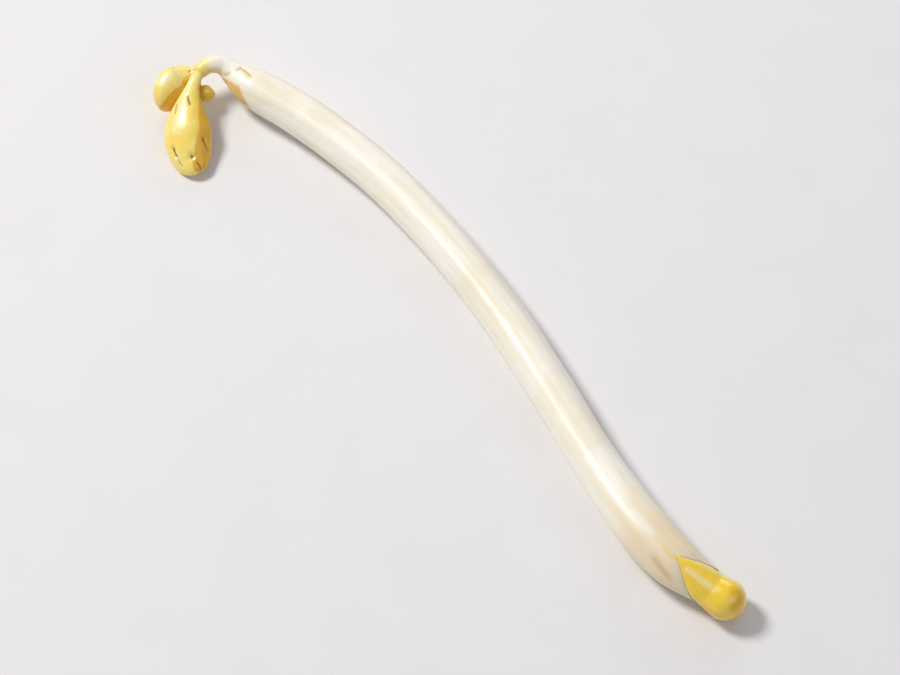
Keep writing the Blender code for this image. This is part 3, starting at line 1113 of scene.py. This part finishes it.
    def _stain(self, form: Form, route: Route) -> None:
        """Stores where the stem is yellower, ochre with painted shade, beige with a painted highlight in
        it, or scuffed.
        """
        found = route.locate(vertex_rows(form.piece))
        along, angle = found[:, 0], np.degrees(np.arctan2(found[:, 2], found[:, 1]))
        form.store("grown", found)
        under = self.neck_below.of(angle) * self.neck_behind.of(angle)
        under *= self.neck_under_until.of(along)
        neck = self.neck_until.of(along) + under
        form.store("neck", np.minimum(neck, self.neck_until.share))
        places, edges = zip(*self.ochre_edge)
        past = np.interp(along, places, edges, left=-180, right=-180) - angle
        patch = self.ochre_past_edge.of(past) * self.ochre_above.of(angle)
        patch *= self.ochre_from.of(along)
        # Ochre: a blemish with painted shade under the hook and the creases
        form.store("ochre", np.maximum(patch, form.streak(route, self.crease_blush_and_shade)))
        # The pale V is a painted highlight cut out of the beige blush
        blush = self.blush_from.of(along) * (1 - form.streak(route, self.painted_highlight_v))
        form.store("root_blush", blush)
        form.store("smear", form.streak(route, self.scuff))
        yellow = np.maximum(form.streak(route, self.yellow_tail), form.streak(route, self.yellow_edge))
        form.store("tail", yellow)
        form.store("crease", form.stain_of(route, self.marks, self.stain_spread))


@dataclass
class SeedLeaf:
    """Half a bean on its stalk, with a rounded outer side, a flatter inner side and a soft rim."""

    name: str
    node: str
    stations: Points
    stalk: float
    half_width: float
    crown: float
    inner: float
    widens_by: float
    roll: float
    marks: tuple[Mark, ...]
    # The edge of the painted golden shade, as distance along and angle round
    painted_shade_edge: Places
    # A painted pale highlight along the leaf
    painted_highlight_streak: Streak
    stalk_share: float = 0.10
    rounds_from: float = 0.55
    roundness: float = 2.2
    ring_count: int = 44
    sides: int = 60
    # The form of the blade: its planes, the fullness of the inner side and the hollow in it
    blade_from: Fade = Fade(2.2, 3.8)
    plane_count: int = 5
    plane_turn: float = 0.5
    plane_depth: float = 0.016
    plane_inset: float = 0.012
    inner_plane_share: float = 0.3
    inner_fullness: float = 0.3
    hollow_depth: float = 0.45
    hollow_width: float = 0.55
    # Where each colour begins and is full, along and up in mm or round in degrees, and its share
    inner_below: Fade = Fade(0.05, -0.20, 0.6)
    inner_from: Fade = Fade(1.2, 2.2)
    # The painted golden shade on the side turned from the light
    painted_shade_past_edge: Fade = Fade(0.0, 9.0, 0.92)
    painted_shade_until: Fade = Fade(260.0, 220.0)
    painted_shade_from: Fade = Fade(0.2, 1.8)
    edge_wave: float = 2.5
    edge_waves: float = 2.1
    stain_spread: float = 0.34

    def route(self) -> Route:
        """The line along the rim plane of the leaf, with the leaf's turn about it."""
        return Route(self.stations, math.radians(self.roll))

    def _size(self, place: float, stalk: float, full: float) -> float:
        """A half size at a place from 0 at the base to 1 at the tip: a stalk, then a teardrop."""
        size = stalk + (full - stalk) * Fade(self.stalk_share, self.widens_by).of(place)
        closing = max(0.0, (place - self.rounds_from) / (1 - self.rounds_from))
        return size * max(1 - closing**self.roundness, 0.0) ** (1 / self.roundness)

    def _half_bean(self, points: np.ndarray) -> np.ndarray:
        """Flattens the inner side, leaves a rim, and gives the crown soft long planes."""
        y, z = points[:, 1], points[:, 2]
        inner = z < 0
        height = np.where(inner, self.inner / self.crown, 1.0)
        angle = np.arctan2(z / self.crown, y / self.half_width)
        sine = np.maximum(np.abs(np.sin(angle)), RIM_SINE)
        fullness = np.where(inner & (sine > RIM_SINE), sine**-self.inner_fullness, 1.0)
        blade = self.blade_from.of(points[:, 0])
        share = np.where(inner, self.inner_plane_share, 1.0)
        planes = self.plane_depth * np.cos(self.plane_count * angle + self.plane_turn) * share
        planes = 1 + blade * planes - self.plane_inset * blade
        hollow = self.hollow_depth * blade * np.exp(-((y / (self.hollow_width * self.half_width)) ** 2))
        points[:, 2] = z * height * fullness * planes * np.where(inner, 1 - hollow, 1.0)
        points[:, 1] = y * planes
        return points

    def build(self, material: bpy.types.Material) -> None:
        """Makes the piece and dresses it."""
        route = self.route()
        rings = cap_rings(0.0, self.stalk, self.stalk * 0.6, -1, 4)
        for step in range(self.ring_count):
            bend = step / self.ring_count
            place = 0.35 * bend + 0.65 * math.sin(0.5 * math.pi * bend)
            width = self._size(place, self.stalk, self.half_width)
            height = self._size(place, self.stalk * 0.95, self.crown)
            rings.append(Ring(route.distance_at(place), width, height))
        last = rings[-1]
        rings.append(Ring(route.length, last.half_width * 0.05, last.half_height * 0.05))
        form = Form(self.name, rings, self.sides)
        form.smooth(2)
        form.sculpt(self._half_bean)
        form.bend(route)
        form.rest_on_floor()
        for mark in self.marks:
            form.press(route, mark)
        self._stain(form, route)
        form.shade()
        form.dress(material, "seed_leaf_yellow", self.node)

    def _stain(self, form: Form, route: Route) -> None:
        """Stores the leaf's painted golden shade, its painted pale highlight, its pits and which side is
        the inner one.
        """
        found = route.locate(vertex_rows(form.piece))
        along, side, up = found.T
        form.store("grown", found)
        form.store("inner", self.inner_below.of(up) * self.inner_from.of(along))
        angle = np.degrees(np.arctan2(up, side)) % 360
        places, edges = zip(*self.painted_shade_edge)
        beyond = angle - np.interp(along, places, edges) + self.edge_wave * np.sin(self.edge_waves * along)
        # Painted golden shade past its edge
        painted_gold_shade = self.painted_shade_past_edge.of(beyond) * self.painted_shade_until.of(angle)
        form.store("painted_gold_shade", painted_gold_shade * self.painted_shade_from.of(along))
        # A painted pale highlight
        form.store("pale", form.streak(route, self.painted_highlight_streak))
        form.store("pit", form.stain_of(route, self.marks, self.stain_spread))


@dataclass
class ShootBud:
    """The small bud of the first two leaves, each folded along its midrib, on a thin stalk."""

    stalk: float = 0.30
    leaf_half_width: float = 0.52
    leaf_half_thickness: float = 0.34
    leaf_rings: int = 23
    leaf_end: float = 0.006
    leaf_fullness: float = 0.8
    leaf_narrowest: float = 0.03
    # The fold along the midrib and the waves of the edge, in mm, the groove's width as a share
    fold_rise: float = 0.10
    groove_depth: float = 0.09
    groove_width: float = 0.16
    edge_wave: float = 0.025
    edge_waves: float = 9.0
    # The pale midrib and the fainter veins that leave it at a slant
    rib_width: float = 0.10
    rib_share: float = 0.7
    vein_share: float = 0.35
    veins_from: float = 0.08
    vein_pitch: float = 26.0
    vein_slant: float = 0.55
    vein_thinness: int = 8
    sides: int = 32
    stalk_stations: tuple[tuple[float, ...], ...] = (
        (-29.90, -0.95, 2.72),
        (-29.72, -1.35, 2.25),
        (-29.40, -1.58, 1.90),
        (-29.00, -1.50, 1.72),
    )
    leaves: dict[str, tuple[tuple[float, ...], ...]] = field(
        default_factory=lambda: {
            "bud_leaf_upper": (
                (-29.30, -1.68, 1.95),
                (-28.90, -1.58, 1.92),
                (-28.50, -1.25, 1.80),
                (-28.10, -0.82, 1.58),
            ),
            "bud_leaf_lower": (
                (-29.25, -1.70, 1.70),
                (-28.80, -1.60, 1.42),
                (-28.45, -1.25, 1.26),
                (-28.25, -0.78, 1.22),
            ),
        }
    )

    def _fold(self, points: np.ndarray) -> np.ndarray:
        """Folds a leaf along its midrib and lets its edges wave a little."""
        y = points[:, 1] / self.leaf_half_width
        groove = self.groove_depth * np.exp(-((y / self.groove_width) ** 2)) * (points[:, 2] > 0)
        points[:, 2] += self.fold_rise * (np.abs(y) - 0.5) - groove
        points[:, 2] += self.edge_wave * y * np.sin(self.edge_waves * points[:, 0])
        return points

    def build(self, material: bpy.types.Material) -> None:
        """Makes the stalk and both leaves and dresses them."""
        route = Route(self.stalk_stations)
        rings = cap_rings(0.0, self.stalk, self.stalk, -1, 4)
        rings += [Ring(route.length * k / 16, self.stalk, self.stalk) for k in range(17)]
        rings += cap_rings(route.length, self.stalk, self.stalk, 1, 4)
        form = Form("bud_stalk", rings, self.sides)
        form.smooth(1)
        form.bend(route)
        self._finish(form, material, route.locate(vertex_rows(form.piece)), 0.0)
        for name, stations in self.leaves.items():
            self._leaf(name, Route(stations), material)

    def _leaf(self, name: str, route: Route, material: bpy.types.Material) -> None:
        """Makes and dresses one folded leaf.

        Args:
            name: the name of the piece.
            route: the line along its middle.
            material: its finish.
        """
        rings = []
        for place in np.linspace(self.leaf_end, 1 - self.leaf_end, self.leaf_rings):
            swell = math.sin(math.pi * place**self.leaf_fullness) ** self.leaf_fullness
            swell = max(swell, self.leaf_narrowest)
            sizes = self.leaf_half_width * swell, self.leaf_half_thickness * swell
            rings.append(Ring(route.distance_at(place), *sizes))
        form = Form(name, rings, self.sides)
        form.smooth(2)
        form.sculpt(self._fold)
        form.bend(route)
        found = route.locate(vertex_rows(form.piece))
        side = found[:, 1] / self.leaf_half_width
        slanted = found[:, 0] - self.vein_slant * np.abs(side)
        veins = np.cos(self.vein_pitch * slanted) ** self.vein_thinness
        veins *= self.vein_share * (np.abs(side) > self.veins_from)
        rib = np.maximum(np.exp(-((side / self.rib_width) ** 2)), veins)
        self._finish(form, material, found, self.rib_share * rib * (found[:, 2] > -0.05))

    @staticmethod
    def _finish(form: Form, material: bpy.types.Material, found: np.ndarray, rib: object) -> None:
        """Stores where a piece's ribs are and dresses it.

        Args:
            form: the piece.
            material: its finish.
            found: where each vertex sits on the straight form.
            rib: how pale each vertex is, from 0 to 1, or one value for all.
        """
        form.store("grown", found)
        form.store("rib", np.broadcast_to(rib, len(found)))
        form.shade()
        form.dress(material, "bud_yellow", "shoot_bud")


FRONT_LEAF = SeedLeaf(
    name="front_seed_leaf_skin",
    node="seed_leaf_front",
    stations=(
        (-29.90, -0.82, 2.88),
        (-29.48, -1.75, 2.86),
        (-28.88, -2.62, 2.55),
        (-28.15, -3.46, 2.00),
        (-27.30, -4.26, 1.36),
        (-26.05, -5.12, 0.78),
        (-24.78, -5.70, 0.52),
        (-23.62, -6.10, 0.72),
    ),
    stalk=0.46,
    half_width=1.93,
    crown=1.55,
    inner=0.55,
    widens_by=0.60,
    roll=-12,
    painted_shade_edge=((1.0, 165), (3.4, 145), (4.9, 130), (6.4, 119), (8.0, 97), (9.0, 60)),
    painted_highlight_streak=Streak(((1.1, 70), (2.2, 55), (3.6, 62), (5.2, 66)), 0.42, 0.55),
    marks=(
        Mark(Press.PIT, ((6.55, 44.7), (6.85, 43.3), (7.15, 42.2)), 0.30, 0.09, 0.6, 0.95),
        Mark(Press.PIT, ((7.15, 42.2), (7.8, 40.5), (8.2, 35.8)), 0.17, 0.05, 0.5, 0.8),
        Mark(Press.PIT, ((7.80, 96.0), (7.97, 94.8)), 0.34, 0.10, 0.9, 0.95),
        Mark(Press.PIT, ((8.57, 112.0), (8.72, 126.0), (8.88, 141.8)), 0.24, 0.06, 0.5, 0.9),
        Mark(Press.PIT, ((6.25, 145.0), (6.87, 151.4), (7.53, 163.0)), 0.24, 0.07, 0.5, 0.9),
        Mark(Press.CREASE, ((3.24, 43.9), (3.85, 54.3)), 0.28, 0.04, 0.7, 0.6),
        Mark(Press.CREASE, ((2.51, 92.7), (2.83, 103.3), (3.1, 112.1)), 0.32, 0.04, 0.6, 0.85),
    ),
)

REAR_LEAF = SeedLeaf(
    name="rear_seed_leaf_skin",
    node="seed_leaf_rear",
    stations=(
        (-29.91, -0.80, 2.90),
        (-30.28, -1.45, 2.56),
        (-30.62, -2.30, 2.10),
        (-30.66, -3.20, 1.82),
        (-30.40, -4.15, 1.68),
        (-29.96, -5.10, 1.58),
    ),
    stalk=0.52,
    half_width=1.78,
    crown=1.44,
    inner=0.50,
    widens_by=0.50,
    roll=66,
    painted_shade_edge=((0.6, 95), (1.4, 68), (2.1, 59), (4.2, 50), (5.0, 40)),
    painted_highlight_streak=Streak(((1.7, 26), (2.5, 20), (3.4, 15)), 0.42, 0.55),
    marks=(
        Mark(Press.CREASE, ((0.85, 70), (0.70, 72), (0.55, 76)), 0.28, 0.05, 0.7, 0.6),
        Mark(Press.CREASE, ((0.95, 150), (1.05, 132)), 0.28, 0.05, 0.7, 0.8),
        Mark(Press.PIT, ((3.9, 330), (4.2, 322)), 0.24, 0.06, 0.5, 0.9),
        Mark(Press.PIT, ((4.3, 250), (4.4, 246)), 0.26, 0.06, 0.7, 0.9),
    ),
)


@dataclass(frozen=True)
class LampPlan:
    """Where a lamp stands, seen from the camera, and how it shines."""

    kind: Lamp
    right: float
    away: float
    up: float
    size: float
    power: float
    colour: str


@dataclass
class Studio:
    """The floor, the lamps and the camera."""

    azimuth: float = 50.68
    elevation: float = 60.0
    distance: float = 420.0
    lens: float = 218.0
    floor_side: float = 1600.0
    floor_drop: float = 0.01
    floor_colour: str = "EBEBED"
    floor_patches: str = "E9E9EB"
    floor_grain: float = 180.0
    floor_range: tuple[float, float] = (0.3, 0.8)
    floor_roughness: float = 0.85
    floor_shine: float = 0.2
    sky: str = "F4F3F8"
    sky_strength: float = 0.38
    lamps: tuple[LampPlan, ...] = (
        LampPlan(Lamp.KEY, -260.0, 140.0, 370.0, 130.0, 1.58, "FFFBF5"),
        LampPlan(Lamp.FILL, 260.0, -160.0, 260.0, 240.0, 0.14, "F2F2FF"),
        LampPlan(Lamp.RIM, 60.0, 300.0, 150.0, 150.0, 0.10, "FFFFFF"),
    )

    def _direction(self, right: float, away: float, up: float) -> Vector:
        """A place or direction given from where the camera stands, in the object's own axes."""
        turn = math.radians(self.azimuth)
        to_right = Vector((math.cos(turn), math.sin(turn), 0))
        to_away = Vector((-math.sin(turn), math.cos(turn), 0))
        return to_right * right + to_away * away + Vector((0, 0, up))

    def build(self) -> None:
        """Sets up everything that isn't part of the sprout."""
        self._floor()
        for plan in self.lamps:
            self._lamp(plan)
        self._sky()
        self._camera()

    def _floor(self) -> None:
        """A wide pale floor just under the sprout."""
        bpy.ops.object.select_all(action="DESELECT")
        bpy.ops.mesh.primitive_plane_add(size=self.floor_side * MM, location=(0, 0, -self.floor_drop * MM))
        floor = bpy.context.object
        floor.name = "floor"
        bpy.ops.object.transform_apply(location=True, rotation=True, scale=True)
        material, sketch, shader = new_material("pale_floor")
        place = sketch.add("ShaderNodeTexCoord").outputs["Object"]
        grain = {"Vector": place, "Scale": self.floor_grain, "Detail": 3.0}
        noise = sketch.add("ShaderNodeTexNoise", grain).outputs[0]
        share = sketch.ramp(noise, *self.floor_range)
        colour = sketch.blend(share, tint(self.floor_colour), tint(self.floor_patches))
        sketch.tree.links.new(colour, shader.inputs["Base Color"])
        shader.inputs["Roughness"].default_value = self.floor_roughness
        shader.inputs["Specular IOR Level"].default_value = self.floor_shine
        floor.data.materials.append(material)

    def _lamp(self, plan: LampPlan) -> None:
        """Hangs one soft lamp and turns it to the sprout."""
        data = bpy.data.lights.new(plan.kind.value, "AREA")
        data.shape = "DISK"
        data.size = plan.size * MM
        data.energy = plan.power
        data.color = tint(plan.colour)[:3]
        lamp = bpy.data.objects.new(plan.kind.value, data)
        bpy.context.collection.objects.link(lamp)
        lamp.location = self._direction(plan.right, plan.away, plan.up) * MM
        lamp.rotation_euler = (-lamp.location).to_track_quat("-Z", "Y").to_euler()

    def _sky(self) -> None:
        """An even soft light from all round."""
        world = bpy.data.worlds.new("soft_sky")
        world.use_nodes = True
        background = world.node_tree.nodes["Background"]
        background.inputs["Color"].default_value = tint(self.sky)
        background.inputs["Strength"].default_value = self.sky_strength
        bpy.context.scene.world = world
        bpy.context.scene.view_settings.view_transform = "Standard"

    def _camera(self) -> None:
        """Looks down on the lying sprout from the same side as the photograph."""
        data = bpy.data.cameras.new("camera")
        data.lens = self.lens
        data.clip_start = 0.01
        camera = bpy.data.objects.new("camera", data)
        bpy.context.collection.objects.link(camera)
        lift = math.radians(self.elevation)
        back = self._direction(0, -math.cos(lift), math.sin(lift))
        target = Vector(MIDDLE) * -MM
        camera.location = target + back * self.distance * MM
        camera.rotation_euler = (-back).to_track_quat("-Z", "Y").to_euler()
        bpy.context.scene.camera = camera


def main() -> None:
    """Builds the sprout and the studio."""
    logging.basicConfig(level=logging.INFO, format="%(name)s %(relativeCreated)d ms: %(message)s")
    effects = Effects.build()
    root = RootTip()
    root.build(ROOT_SKIN.make(effects))
    Stem().build(STEM_FLESH.make(effects), root)
    leaf_skin = SEED_LEAF_WAX.make(effects)
    for leaf in (FRONT_LEAF, REAR_LEAF):
        leaf.build(leaf_skin)
    ShootBud().build(YOUNG_LEAF.make(effects))
    Studio().build()


if __name__ == "__main__":
    main()
